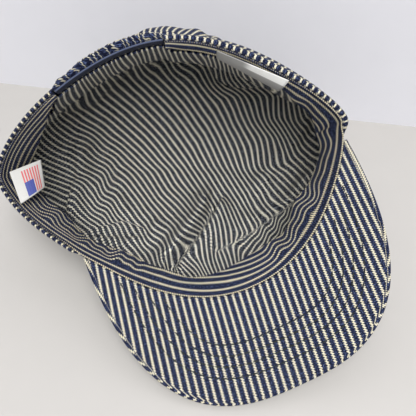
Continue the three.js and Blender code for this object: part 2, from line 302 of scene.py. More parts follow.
class Finish:
    def __init__(self, name):
        self.material = bpy.data.materials.new(name)
        self.material.use_nodes = True
        self.tree = self.material.node_tree
        self.tree.nodes.clear()

    def node(self, kind, settings=None, out=0, **sockets):
        made = self.tree.nodes.new(kind)
        for key, value in (settings or {}).items():
            setattr(made, key, value)
        # a socket is named, or numbered as i0, i1 and so on where its name is shared
        for key, value in sockets.items():
            socket = made.inputs[int(key[1:])] if key[1:].isdigit() else made.inputs[key.replace("_", " ")]
            if isinstance(value, Wire):
                self.tree.links.new(value.socket, socket)
            else:
                socket.default_value = value
        return Wire(self, made.outputs[out]) if len(made.outputs) else made

    def math(self, operation, *values):
        sockets = {f"i{k}": value for k, value in enumerate(values)}
        return self.node("ShaderNodeMath", {"operation": operation}, **sockets)

    def mix(self, share, low, high):
        settings = {"data_type": "RGBA", "clamp_factor": True}
        return self.node("ShaderNodeMix", settings, out=2, i0=share, i6=low, i7=high)

    def step(self, value, low, high):
        # 0 below low, 1 above high, eased between
        settings = {"interpolation_type": "SMOOTHSTEP"}
        return self.node("ShaderNodeMapRange", settings, Value=value, From_Min=low, From_Max=high)

    def speckle(self, vector, scale, detail=2.0, rough=0.5):
        sockets = {"Vector": vector, "Scale": scale, "Detail": detail, "Roughness": rough}
        return self.node("ShaderNodeTexNoise", {"noise_dimensions": "3D"}, **sockets)

    def cloth(self):
        # the cloth coordinates: both, those across and those down
        uv = self.node("ShaderNodeUVMap", {"uv_map": "cloth"})
        across = self.node("ShaderNodeSeparateXYZ", Vector=uv)
        return uv, across, Wire(self, across.socket.node.outputs[1])

    def wave(self, value, turns):
        # a sine from 0 to 1
        return (value * (2 * math.pi * turns)).math("SINE") * 0.5 + 0.5

    def close(self, colour, rough, relief=None, strength=0, deep=0):
        sockets = {"Base_Color": colour, "Roughness": rough}
        if relief is not None:
            sockets["Normal"] = self.node("ShaderNodeBump", Strength=strength, Distance=deep, Height=relief)
        shader = self.node("ShaderNodeBsdfPrincipled", **sockets)
        self.node("ShaderNodeOutputMaterial", Surface=shader)
        return shader.socket.node


def rgb(r, g, b):
    # picks are screen values from 0 to 255
    def linear(c):
        c = c / 255
        return c / 12.92 if c <= 0.04045 else ((c + 0.055) / 1.055) ** 2.4
    return (linear(r), linear(g), linear(b), 1)


denim = {
    "navy": rgb(17, 23, 52), "navyLight": rgb(88, 103, 144), "navyDark": rgb(8, 11, 33),
    "cream": rgb(229, 224, 203), "creamDark": rgb(188, 178, 146),
    "creamShare": 0.28, "edge": 0.03, "fray": 0.07, "steps": 3.0, "stepSwing": 0.1,
    "threads": 9.0, "flecks": 0.75, "fleckFrom": 0.52, "fleckTo": 0.62,
    "rough": 0.86, "relief": 0.55, "deep": 0.00025,
    "sheen": {"Sheen Weight": 0.03, "Sheen Roughness": 0.5, "Specular IOR Level": 0.15},
}
# the crown's inside: its greyer navy with pale weft flecks is the wrong side's own colour; its cream stripes
# are painted brighter than the outer face's, painted light shining through the cloth
wrongSidePaintedLight = dict(
    denim, navy=rgb(32, 36, 48), navyLight=rgb(130, 134, 144), navyDark=rgb(17, 20, 31),
    cream=rgb(248, 244, 230), creamDark=rgb(205, 199, 173), flecks=1.0,
)
bandSide = dict(denim, creamShare=0.22, navy=rgb(17, 23, 50), cream=rgb(240, 230, 200))
# the gathered back's cream is painted dimmer than the outer cloth's: painted shade over the gather's ripples
gatherShadedSide = dict(denim, creamShare=0.18, navy=rgb(20, 27, 54), cream=rgb(184, 183, 172))


def hickory(name, look):
    # striped denim: twill lines, pale flecks of weft and a cream stripe with soft edges
    f = Finish(name)
    uv, s, w = f.cloth()
    fray = f.speckle(uv, 9.0) - 0.5
    steps = ((w * look["steps"] + s * 2.0) * (2 * math.pi)).math("SINE") * look["stepSwing"]
    centre = ((s + fray * look["fray"]) % 1.0 - 0.5).math("ABSOLUTE") + steps
    half = look["creamShare"] / 2
    cream = 1 - f.step(centre, half - look["edge"], half + look["edge"])
    twill = f.wave((s + w) * look["threads"], 1)
    thread = f.wave(w * (look["threads"] * 2) + fray * 0.3, 1)
    fleckNoise = f.speckle(uv, 5.2, 2.0, 0.8)
    fleck = f.step(fleckNoise + twill * 0.1 - 0.05, look["fleckFrom"], look["fleckTo"]) * look["flecks"]
    patch = f.speckle(uv, 0.35, 3.0)
    navy = f.mix(patch * 0.8, look["navyDark"], look["navy"])
    navy = f.mix(fleck, navy, look["navyLight"])
    creamShade = f.step(f.speckle(uv, 7.0, 2.0, 0.8), 0.35, 0.6)
    colour = f.mix(cream, navy, f.mix(creamShade, look["creamDark"], look["cream"]))
    relief = twill * 0.35 + thread * 0.25 + cream * 0.55 + fleckNoise * 0.4
    rough = look["rough"] + (fleckNoise - 0.5) * 0.12
    surface = f.close(colour, rough, relief, look["relief"], look["deep"])
    for socket, value in look["sheen"].items():
        surface.inputs[socket].default_value = value
    return f.material


rightCloth = hickory("striped denim", denim)
wrongClothPaintedLight = hickory("striped denim wrong side, cream with painted light", wrongSidePaintedLight)
bandCloth = hickory("striped denim sweatband", bandSide)
gatherShadedCloth = hickory("striped denim gathered, painted shade", gatherShadedSide)

# crown: how the stripes run inside it, read in the photograph's frame: place in px, lean to the
# right going down in degrees, and pitch in px
stripeReadings = (
    (105, 105, 44, 5.2), (125, 88, 38, 5.6), (150, 104, 33, 5.6), (170, 99, 31, 5.6), (170, 80, 31, 5.6),
    (206, 107, 27, 5.4), (188, 128, 28, 5.3), (150, 144, 33, 5.1), (130, 143, 37, 5.2),
    (170, 170, 38, 4.7), (110, 177, 40, 4.9), (205, 157, 21, 5.0), (225, 157, 22, 4.9),
    (243, 148, 20, 4.9), (236, 118, 25, 5.0), (215, 182, 24, 4.7), (147, 190, 38, 4.6),
    (232, 180, 20, 4.6), (57, 190, 78, 4.2), (66, 178, 76, 4.2), (57, 171, 64, 4.4), (62, 152, 58, 4.8),
    (55, 138, 50, 5.0), (52, 120, 32, 4.6), (73, 132, 48, 5.0), (70, 116, 46, 5.2), (68, 203, 74, 4.2),
    (71, 160, 62, 4.8), (84, 150, 24, 4.8), (83, 168, 34, 4.8), (81, 190, 38, 4.6), (95, 165, 42, 4.9),
    (90, 182, 44, 4.6), (78, 208, 50, 4.4), (96, 200, 50, 4.6), (98, 213, 56, 4.5), (112, 205, 42, 4.8),
    (76, 96, -2, 5.5), (92, 84, 38, 5.0), (110, 73, 42, 5.5), (125, 63, 36, 5.6), (140, 58, 25, 5.8),
    (158, 56, 12, 6.0), (176, 55, 22, 6.0), (192, 53, 42, 6.0), (200, 62, 55, 5.0), (209, 74, 24, 4.4),
    (213, 62, 20, 4.4), (217, 75, 15, 4.0), (222, 86, 42, 3.6), (229, 91, 66, 3.4), (227, 63, 7, 4.4),
    (230, 75, 18, 4.0), (236, 86, 42, 3.6), (242, 68, 26, 4.4), (250, 78, 45, 4.2), (260, 86, 52, 4.0),
    (254, 72, 38, 4.4), (270, 88, 55, 4.0), (284, 94, 18, 4.2), (292, 91, 24, 4.2), (228, 104, 32, 5.0),
    (247, 104, 21, 4.8), (262, 104, 12, 4.8), (275, 106, 3, 4.6), (287, 106, 13, 4.4),
    (300, 108, 12, 4.2), (278, 128, 32, 3.8), (296, 140, 36, 4.0), (277, 154, -22, 4.6),
    (264, 160, 0, 4.8), (262, 174, 8, 4.8), (302, 165, 40, 4.6), (292, 168, 40, 5.0),
    (281, 158, -26, 4.4), (273, 163, -22, 4.6), (268, 152, 14, 4.8), (285, 147, 26, 4.4),
    (270, 171, 18, 4.8), (279, 172, 34, 4.8), (289, 157, 36, 4.8), (312, 128, 44, 4.4),
    (306, 146, 38, 4.6), (264, 192, 30, 4.6), (282, 190, 47, 5.0), (300, 193, 45, 4.6),
    (250, 205, 22, 4.4), (240, 218, 22, 4.4), (290, 197, 46, 4.8), (276, 206, 42, 4.6),
    (262, 216, 32, 4.4), (248, 226, 24, 4.4), (296, 212, -42, 4.0), (282, 220, -40, 4.0),
    (268, 229, -45, 4.0), (252, 241, -52, 4.0), (266, 236, -46, 4.0), (288, 221, -38, 4.0),
    (304, 208, -42, 4.0), (248, 247, -54, 4.0), (228, 253, 38, 4.4), (102, 234, 14, 5.6),
    (112, 236, 12, 5.8), (121, 238, 14, 5.8), (130, 238, 28, 5.4), (112, 246, 14, 5.6),
    (134, 248, 46, 4.6), (142, 262, 48, 4.6), (157, 258, 16, 4.6), (98, 221, 56, 4.4),
    (112, 219, 42, 4.6), (126, 220, 42, 5.0), (144, 246, 50, 4.6), (130, 210, 44, 5.2),
    (150, 222, 52, 4.8), (160, 227, 58, 4.6), (166, 255, 10, 4.6), (158, 243, 50, 4.6),
    (174, 240, 50, 4.4), (180, 253, 4, 4.4), (190, 238, 46, 4.2), (170, 208, 50, 4.8),
    (184, 224, 60, 4.4), (195, 228, 60, 4.2), (198, 216, 52, 4.0), (152, 258, 14, 4.8),
    (190, 206, 44, 4.4), (209, 226, 16, 4.4), (213, 240, 2, 5.0), (222, 244, 10, 4.6), (205, 254, 4, 4.8),
    (189, 262, 56, 3.2),
)

# folds of the crown, read in the photograph's frame: the path in px, how far the fold reaches to the
# left and right of it for one who follows it down the picture, in px, and how high it stands in mm
crownFolds = (
    {"name": "left pleat", "left": 3.5, "right": 13, "high": 7,
     "path": ((76, 142), (77, 160), (78, 177), (74, 192), (71, 203), (69, 216))},
    {"name": "left pleat line", "left": 1.8, "right": 1.8, "high": -5,
     "path": ((73, 144), (74, 160), (75, 177), (71, 192), (68, 203), (67, 213))},
    {"name": "left hollow", "left": 9, "right": 9, "high": -5,
     "path": ((94, 148), (99, 172), (92, 196), (97, 214))},
    {"name": "left wave", "left": 7, "right": 8, "high": 4,
     "path": ((116, 150), (122, 175), (114, 198), (126, 216))},
    {"name": "back edge", "left": 5, "right": 10, "high": 5,
     "path": ((57, 105), (84, 103), (100, 89), (111, 76), (121, 71), (137, 74), (150, 70))},
    {"name": "back hollow", "left": 8, "right": 5, "high": -5,
     "path": ((130, 73), (150, 67), (163, 63.5), (187, 61), (199, 59))},
    {"name": "bunch valley", "left": 11, "right": 3.5, "high": -8,
     "path": ((203, 64), (210, 73), (218.5, 87), (230, 93), (250, 91.5), (274, 91.5), (290, 97))},
    {"name": "bunch ridge", "left": 4, "right": 8, "high": 6,
     "path": ((212, 62), (225, 78), (244, 81), (268, 80), (288, 84))},
    {"name": "right facet", "left": 14, "right": 4, "high": 7,
     "path": ((312, 117), (306, 129), (291, 149), (278, 166), (266, 184))},
    {"name": "right hollow", "left": 5, "right": 11, "high": -5,
     "path": ((298, 168), (282, 186), (266, 202))},
    {"name": "front right crease", "left": 3, "right": 10, "high": -7, "cut": 4,
     "path": ((320, 163), (311, 182), (300, 198), (285, 210), (267, 222), (247, 236), (220, 250))},
    {"name": "front right ridge", "left": 9, "right": 3.5, "high": 4,
     "path": ((304, 182), (288, 200), (268, 210), (246, 226), (224, 240))},
    {"name": "crevice", "left": 3.8, "right": 3.6, "high": -13, "cut": 4,
     "path": ((211, 212), (208.6, 220), (198.6, 236), (186, 253), (176, 266))},
    {"name": "crevice lip", "left": 15, "right": 2.2, "high": 14,
     "path": ((206, 211), (203, 220), (194, 234), (182, 250), (172, 262))},
    {"name": "front facet", "left": 2.2, "right": 15, "high": 10,
     "path": ((217, 215), (213.5, 224), (204, 240), (192, 256), (182, 269))},
    {"name": "front left valley", "left": 8, "right": 4, "high": -6, "cut": 3.5,
     "path": ((72, 217), (84, 227), (107, 226), (124, 221), (142, 228))},
    {"name": "front left ridge", "left": 6, "right": 6, "high": 3.5,
     "path": ((100, 240), (124, 246), (146, 240), (158, 226))},
)
crownLook = {
    "across": 216, "rows": 216, "thick": 1.1, "heading": 9.0, "shiver": 0.7,
    "seamGap": 0.9, "inside": (0, 0, 40.0),
    # behind the tape and in the bunch beside it the cloth stands clear and climbs
    "tapeClear": 0.8, "tapeRise": 17, "tapeStart": (-4, 6), "tapeEnd": (1, 5),
    "bunchClear": 3.2, "bunchRise": 13, "bunchStart": (92, 16), "bunchLast": 200,
    # folds fade out toward the seam; height over the floor in mm, and how softly the cloth meets it
    "foldsFrom": 0.14, "foldsOver": 0.12, "bedding": (1.0, 10), "resting": (0.8, 2),
    # how the readings are blended, where they hold, and what is left of a step across a sharp crease
    "readingSoft": 8, "readingPower": 2.5, "seenFrom": 0.05, "seenOver": 0.2, "cutHold": 0.003,
    "rounds": 900,
}
insideCap = np.array(crownLook["inside"])

# soft waves that bend the stripes: middle and reach in px, length in px, lean of the wave's way,
# swing in stripes
crownWaves = (
    {"middle": (92, 182), "reach": (24, 40), "length": 33, "way": 48, "swing": 0.45},
    {"middle": (98, 192), "reach": (20, 30), "length": 20, "way": 62, "swing": 0.22},
    {"middle": (150, 240), "reach": (36, 16), "length": 27, "way": 70, "swing": 0.25},
    {"middle": (270, 165), "reach": (40, 40), "length": 46, "way": 20, "swing": 0.35},
    {"middle": (140, 66), "reach": (60, 10), "length": 30, "way": 80, "swing": 0.3},
    {"middle": (275, 225), "reach": (28, 22), "length": 17, "way": -60, "swing": 0.3},
)


def crownBase(bearing, t):
    turned = np.mod(bearing, 360)
    (early, startOver), (late, endOver) = crownLook["tapeStart"], crownLook["tapeEnd"]
    behindTape = ease((turned - cap["elasticFrom"] - early) / startOver)
    behindTape = behindTape * (1 - ease((turned - cap["elasticTo"] - late) / endOver))
    first, over = crownLook["bunchStart"]
    bunched = ease((turned - first) / over) * (1 - behindTape) * (turned < crownLook["bunchLast"])
    inset = cap["cloth"] * 1.5 + cap["gap"]
    inset = inset + crownLook["tapeClear"] * behindTape + crownLook["bunchClear"] * bunched
    seam = cap["bandHeight"] + crownLook["seamGap"]
    tuck, flarePart = cap["tuckPart"], cap["flarePart"]
    rise = cap["crownTuck"] + crownLook["tapeRise"] * behindTape + crownLook["bunchRise"] * bunched
    bulge = rimAt(bearing, "bulge")
    u = np.clip((t - tuck) / (flarePart - tuck), 0, 1)
    phi = np.clip((t - flarePart) / (1 - flarePart), 0, 1) * math.pi / 2
    dropTuck = seam - rise * (1 - np.clip(t / tuck, 0, 1))
    side = wallPoint(bearing, inset - bulge * np.sin(u * math.pi / 2), dropTuck + cap["bulgeDrop"] * u)
    reach = np.clip(np.cos(phi), 0, 1) ** cap["crownSquare"]
    fall = np.sin(phi) ** cap["crownSquare"]
    cx, cy = cap["crownCentre"]
    x = cx + (side[..., 0] - cx) * reach
    y = cy + (side[..., 1] - cy) * reach
    z = side[..., 2] + (cap["crownTop"] - side[..., 2]) * fall
    return np.stack([x, y, z], -1)


def liftOffFloor(points, level, soft):
    p = toFloor(points)
    over = p[..., 2] - level
    bedded = level + np.where(over > 0, over * over / soft * (2 - over / soft), 0)
    eased = np.where(over < soft, bedded, p[..., 2])
    return toCap(np.concatenate([p[..., :2], eased[..., None]], -1))


def discOf(a, b):
    # square to disc, rays kept as rays
    r = np.maximum(np.abs(a), np.abs(b))
    wide = np.abs(a) >= np.abs(b)
    safeA = np.where(np.abs(a) < 1e-9, 1e-9, a)
    safeB = np.where(np.abs(b) < 1e-9, 1e-9, b)
    angle = np.where(wide, math.pi / 4 * b / safeA, math.pi / 2 - math.pi / 4 * a / safeB)
    flip = np.where(wide, a < 0, b < 0)
    return r, np.degrees(angle + np.where(flip, math.pi, 0)) + 90


def fromFold(spots, fold):
    # distance of each spot of the frame from the fold's path, and the side it lies on
    path = np.array(fold["path"], float)
    best = np.full(spots.shape[:-1], 1e9)
    side = np.zeros(spots.shape[:-1])
    for start, end in zip(path[:-1], path[1:]):
        line = end - start
        share = np.clip(((spots - start) @ line) / (line @ line), 0, 1)
        away = spots - start - share[..., None] * line
        far = np.linalg.norm(away, axis=-1)
        nearer = far < best
        best = np.where(nearer, far, best)
        side = np.where(nearer, line[0] * away[..., 1] - line[1] * away[..., 0], side)
    return best, side


def foldLift(spots):
    lift = np.zeros(spots.shape[0])
    for fold in crownFolds:
        best, side = fromFold(spots, fold)
        reach = np.where(side > 0, fold["left"], fold["right"])
        lift += fold["high"] * np.exp(-(best / reach) ** 2)
    return lift


def loosen(weight, picture, axis):
    # stripes needn't meet across the sharp creases
    for fold in crownFolds:
        if "cut" in fold:
            best, side = fromFold(picture, fold)
            crossed = np.diff(np.sign(side), axis=axis) != 0
            near = np.minimum(*((best[:, 1:], best[:, :-1]) if axis else (best[1:], best[:-1]))) < fold["cut"]
            weight = np.where(crossed & near, weight * crownLook["cutHold"], weight)
    return weight


def readStripes(spots):
    # the readings blended at each spot of the frame: stripes per px, across and down
    readings = np.array(stripeReadings, float)
    away = ((spots[..., None, :] - readings[:, :2]) ** 2).sum(-1)
    weight = 1 / (away + crownLook["readingSoft"]) ** crownLook["readingPower"]
    weight = weight / weight.sum(-1, keepdims=True)
    lean = np.radians(readings[:, 2])
    acrossWay = (weight * np.cos(lean)).sum(-1)
    downWay = -(weight * np.sin(lean)).sum(-1)
    size = np.hypot(acrossWay, downWay) * (weight * readings[:, 3]).sum(-1)
    return np.stack([acrossWay, downWay], -1) / size[..., None]


def solveEven(start, wantA, wantB, weightA, weightB):
    # least squares on a square grid, by conjugate gradients: steps along both ways as wanted
    def spread(stepA, stepB):
        out = np.zeros_like(start)
        out[:, 1:] += stepA * weightA
        out[:, :-1] -= stepA * weightA
        out[1:] += stepB * weightB
        out[:-1] -= stepB * weightB
        return out

    x = start
    left = spread(wantA, wantB) - spread(np.diff(x, axis=1), np.diff(x, axis=0))
    move = left.copy()
    size = (left * left).sum()
    for _ in range(crownLook["rounds"]):
        image = spread(np.diff(move, axis=1), np.diff(move, axis=0))
        stride = size / ((move * image).sum() + 1e-30)
        x = x + stride * move
        left = left - stride * image
        fresh = (left * left).sum()
        if fresh < 1e-8:
            break
        move = left + fresh / size * move
        size = fresh
    return x


def layStripes(points, a, b):
    # where the camera sees the cloth its stripes follow the readings, elsewhere its own run
    da = np.gradient(points, axis=1)
    db = np.gradient(points, axis=0)
    normal = unit(np.cross(da, db))
    normal = normal * np.sign((normal * (insideCap - points)).sum(-1))[..., None]
    toCamera = unit(toCap(cameraPlace) - points)
    seen = ease(((normal * toCamera).sum(-1) - crownLook["seenFrom"]) / crownLook["seenOver"])
    up = unit(a[..., None] * da + b[..., None] * db)
    side = np.cross(normal, up)
    r, bearing = discOf(a, b)
    turn = np.radians(bearing)
    outPlan = np.stack([np.sin(turn), -np.cos(turn)], -1)
    sidePlan = np.stack([np.cos(turn), np.sin(turn)], -1)
    sense = np.sign((side[..., :2] * sidePlan).sum(-1))
    sense = np.where(sense == 0, 1, sense)
    picture = inPicture(toFloor(points))
    reading = readStripes(picture)
    head = math.radians(crownLook["heading"])

    def between(field, axis):
        return (field[:, 1:] + field[:, :-1]) / 2 if axis else (field[1:] + field[:-1]) / 2

    spanA = np.linalg.norm(np.diff(points, axis=1), axis=-1)
    spanB = np.linalg.norm(np.diff(points, axis=0), axis=-1)
    weightA = loosen(between(np.linalg.norm(db, axis=-1), 1) / (spanA + 1e-6), picture, 1)
    weightB = loosen(between(np.linalg.norm(da, axis=-1), 0) / (spanB + 1e-6), picture, 0)
    answer = []
    for plan in ((math.cos(head), math.sin(head)), (-math.sin(head), math.cos(head))):
        way = np.array(plan) * np.ones(r.shape)[..., None]
        g = (way * outPlan).sum(-1)[..., None] * up + ((way * sidePlan).sum(-1) * sense)[..., None] * side
        g = g / pitch
        wants = []
        for axis in (1, 0):
            want = (between(g, axis) * np.diff(points, axis=axis)).sum(-1)
            if not answer:
                read = (between(reading, axis) * np.diff(picture, axis=axis)).sum(-1)
                share = between(seen, axis)
                want = want * (1 - share) + read * share
            wants.append(want)
        answer.append(solveEven((points[..., :2] * way).sum(-1) / pitch, *wants, weightA, weightB))
    px, py = picture[..., 0], picture[..., 1]
    for wave in crownWaves:
        (mx, my), (rx, ry) = wave["middle"], wave["reach"]
        way = math.radians(wave["way"])
        phase = (px * math.sin(way) + py * math.cos(way)) * 2 * math.pi / wave["length"]
        fade = np.exp(-((px - mx) / rx) ** 2 - ((py - my) / ry) ** 2)
        answer[0] = answer[0] + seen * wave["swing"] * np.sin(phase) * fade
    return np.stack(answer, -1)


def makeCrown():
    n = crownLook["across"]
    store = {}

    def place(u, v):
        a, b = 2 * u - 1, 2 * v - 1
        i = np.rint(v * n).astype(int)
        j = np.rint(u * n).astype(int)
        grid = np.zeros((n + 1, n + 1, 3))
        gridA = np.zeros((n + 1, n + 1))
        gridB = np.zeros((n + 1, n + 1))
        r, bearing = discOf(a, b)
        base = liftOffFloor(crownBase(bearing, 1 - r), *crownLook["bedding"])
        grid[i, j] = base
        gridA[i, j] = a
        gridB[i, j] = b
        normal = unit(np.cross(np.gradient(grid, axis=1), np.gradient(grid, axis=0)))
        normal = normal * np.sign((normal * (insideCap - grid)).sum(-1))[..., None]
        fade = ease((1 - r - crownLook["foldsFrom"]) / crownLook["foldsOver"])
        lift = foldLift(inPicture(toFloor(base)))
        x, y, z = base.T
        shiver = np.sin(x * 0.31 + 1.3 * np.sin(y * 0.13)) * np.sin(y * 0.27 + z * 0.11 + 0.9)
        shiver = shiver + 0.6 * np.sin(x * 0.17 - y * 0.41 + 2.0) * np.sin(x * 0.09 + z * 0.2)
        lift = lift + crownLook["shiver"] * shiver
        moved = base + normal[i, j] * (lift * fade)[:, None]
        moved = liftOffFloor(moved, *crownLook["resting"])
        grid[i, j] = moved
        store["cloth"] = layStripes(grid, gridA, gridB)[i, j]
        return moved

    def weave(u, v, points):
        return store["cloth"]

    crown = makeSheet("crown_cloth", crownLook, place, weave, [wrongClothPaintedLight, rightCloth])
    dress(crown, "crown")


makeCrown()

# outer band: an inner lip, the rolled rim and the outer face down to the crown seam
bandLook = {
    "across": 640, "thick": 0.7,
    # share of the way round the section, inset and drop in mm, and how much of the flare it takes
    "section": ((0, 2.6, 3.4, 0), (0.10, 2.6, 1.3, 0), (0.16, 2.2, 0.3, 0), (0.24, 1.2, -0.2, 0.05),
                (0.32, 0.2, 0.2, 0.2), (0.38, -0.4, 1.4, 0.35), (0.5, -0.5, 5, 1), (0.7, -0.3, 14, 0.9),
                (1, 0.7, 34, 0)),
    # stripes that the flared face runs ahead of the rim
    # stripes that the flared face runs ahead of the rim
    "rows": 26, "ahead": 0.42,
}


def bandBearings(u):
    start = cap["elasticTo"] - 360 + 0.3
    return start + (cap["elasticFrom"] - 0.3 - start) * u


def rollWide(bearing):
    # the roll is flattest along the left side
    turned = signedBearing(bearing)
    left = ease((turned + 165) / 20) * (1 - ease((turned + 78) / 20))
    return 1 - 0.7 * left - 0.42 * ease((turned - 80) / 20)


def bandEdgeDrop(bearing):
    return (board["thick"] + 3 * cap["gap"]) * (1 - pastPeak(bearing, 5))


def makeOuterBand():
    share, inset, drop, out = np.array(bandLook["section"], float).T

    def section(v, values):
        return np.interp(v, share, values)

    def place(u, v):
        bearing = bandBearings(u)
        free = pastPeak(bearing, 5)
        deep = section(v, inset)
        deep = np.where(deep > 0.5, 0.5 + (deep - 0.5) * np.where(v < 0.5, rollWide(bearing), 1), deep)
        deep = deep * free + 0.65 * (1 - free) - rimAt(bearing, "flare") * section(v, out) * free
        down = bandEdgeDrop(bearing) + np.maximum(section(v, drop), 0) * (1 - free) + section(v, drop) * free
        return wallPoint(bearing, deep, np.minimum(down, cap["bandHeight"]))

    def weave(u, v, points):
        bearing = bandBearings(u)
        outer = ease((section(v, drop) - 0.6) / 1.2) * ease((v - 0.3) / 0.06)
        ahead = bandLook["ahead"] * outer * ease((rimAt(bearing, "flare") - 0.8) / 1.5)
        return np.stack([rimLength(bearing) / pitch + ahead, section(v, drop) / pitch], -1)

    band = makeSheet("outer_band_cloth", bandLook, place, weave, [rightCloth])
    dress(band, "outer_band")


makeOuterBand()

# sweatband: stripes along the rim, smooth near the seam and loose at its free edge
sweatLook = {
    "across": 420, "rows": 40, "thick": 0.6, "stripeStart": 0.57, "hideSeam": 0.13, "change": 8.0,
    # share of its height at its ends, how soon it is whole, and how far off the camera looks down on it
    "endHeight": 0.35, "endOver": 0.03, "lookedFrom": 270,
    # bearing, and mm seen from above to a stripe near the seam and past the change
    "lines": ((-180, 3.0, 3.0), (-136, 2.4, 2.8), (-120, 2.4, 4.0), (-100, 2.7, 3.2), (-75, 2.9, 2.9),
              (-58, 3.8, 3.4), (-44, 4.4, 4.4), (-12, 3.5, 3.3), (12, 3.6, 3.1), (30, 5.1, 3.1),
              (50, 4.8, 3.1), (75, 4.0, 3.6), (110, 3.2, 3.0), (130, 2.4, 2.4), (180, 3.0, 3.0)),
    # bearing, spread in degrees, inward mm at the free edge
    "waves": ((-132, 7, 1.6), (-118, 6, -1.2), (-96, 12, 3.0), (-84, 5, -1.4), (-70, 9, 2.0), (-52, 6, -1.0),
              (28, 9, -2.5), (46, 8, 2.5), (57, 5, -1.2), (70, 7, -2.2), (84, 6, 2.6), (95, 5, -1.4),
              (104, 6, 1.4)),
    # how the stripes wander, in stripes: (swing, waves in a full turn, start) for each part
    "wander": ((0.25, 3.1, 0), (0.2, 7.3, 0)),
    "looseWander": ((0.5, 16, 0), (0.3, 29, 60)),
    "puckeredWander": ((0.6, 24, 0), (0.3, 51, 40)),
}


def sweatInset(bearing, t):
    inset = cap["cloth"] + cap["gap"] + (cap["cloth"] + 2 * cap["gap"]) * ease(t / 0.6)
    inset = inset + rimAt(bearing, "lean") * t
    for at, spread, inward in sweatLook["waves"]:
        inset = inset + inward * t * t * np.exp(-((bearing - at) / spread) ** 2)
    return inset


def wandering(bearing, parts):
    return sum(swing * np.sin(np.radians(bearing * waves + start)) for swing, waves, start in parts)


def makeSweatband():
    def place(u, v):
        bearing = bandBearings(u)
        free = pastPeak(bearing, 5)
        lip = (1.3 * free * rollWide(bearing) + 0.1) * (1 - ease(v / 0.12))
        inset = sweatInset(bearing, v) + 0.5 + lip
        whole = ease(np.minimum(u, 1 - u) / sweatLook["endOver"])
        tucked = sweatLook["endHeight"] + (1 - sweatLook["endHeight"]) * whole
        return wallPoint(bearing, inset, rimAt(bearing, "sweat") * v * tucked + 0.5 * free)

    def weave(u, v, points):
        bearing = bandBearings(u)
        at, near, far = np.array(sweatLook["lines"], float).T
        near = np.interp(signedBearing(bearing), at, near)
        far = np.interp(signedBearing(bearing), at, far)
        fromAbove = rimAt(bearing, "radius") / sweatLook["lookedFrom"]
        deep = sweatInset(bearing, v) - sweatInset(bearing, 0 * v) + fromAbove * rimAt(bearing, "sweat") * v
        run = np.minimum(deep, sweatLook["change"]) / near + np.maximum(deep - sweatLook["change"], 0) / far
        loose = 1 - 0.4 * ease((bearing - 48) / 14) - 0.6 * ease((bearing - 100) / 14)
        loose = loose * ease((bearing - 8) / 16)
        puckered = ease((bearing + 118) / 14) * (1 - ease((bearing + 62) / 10))
        wander = wandering(bearing, sweatLook["wander"])
        wander = wander + loose * wandering(bearing, sweatLook["looseWander"])
        wander = wander + puckered * wandering(bearing, sweatLook["puckeredWander"])
        wander = wander * ease((deep - 4) / 5)
        side = signedBearing(bearing)
        plain = pastPeak(np.minimum(side, 0), 10) + ease((side - 92) / 16)
        start = sweatLook["stripeStart"] + sweatLook["hideSeam"] * plain
        return np.stack([run + start + wander, rimLength(bearing) / pitch], -1)

    band = makeSheet("sweatband_cloth", sweatLook, place, weave, [bandCloth])
    dress(band, "sweatband")


makeSweatband()

# peak: one cloth-covered board, with the upper cloth rolled over its leading edge
peakLook = {
    "across": 260, "rows": 72, "hem": 2.6, "hemRise": 0.45, "heading": -6.5, "fan": 0.054, "fanFrom": 80,
    # shares of the sheet: where each face starts and where it turns over the edge
    "faceFrom": 0.03, "turnFrom": 0.46, "turnOver": 0.08, "crowd": 1.25,
    "stitchRows": (14.8, 20.8, 26.4, 32.4), "stitchLength": 4.3, "stitchWide": 0.95, "stitchRise": 0.35,
}


def peakEdge(s):
    phi = s * math.pi / 2
    power = 2 / board["power"]
    x = np.sign(s) * board["halfWidth"] * np.abs(np.sin(phi)) ** power
    y = board["cornerY"] - board["reach"] * np.clip(np.cos(phi), 0, 1) ** power
    return np.stack([x, y], -1)


def peakStripes(plan):
    heading = np.radians(peakLook["heading"] + peakLook["fan"] * plan[..., 0])
    return (plan[..., 0] + (plan[..., 1] + peakLook["fanFrom"]) * np.tan(heading)) / pitch


edgeSteps = peakEdge(np.linspace(-1, 1, 1201))
edgeWay = unit(np.gradient(edgeSteps, axis=0))
edgeOut = np.stack([edgeWay[:, 1], -edgeWay[:, 0]], -1)


def fromEdge(plan):
    # nearest place on the leading edge: distance in from it, and its index
    near = np.empty(len(plan), int)
    for start in range(0, len(plan), 2000):
        block = plan[start:start + 2000]
        near[start:start + 2000] = ((block[:, None] - edgeSteps[None]) ** 2).sum(-1).argmin(1)
    return np.linalg.norm(plan - edgeSteps[near], axis=1), near


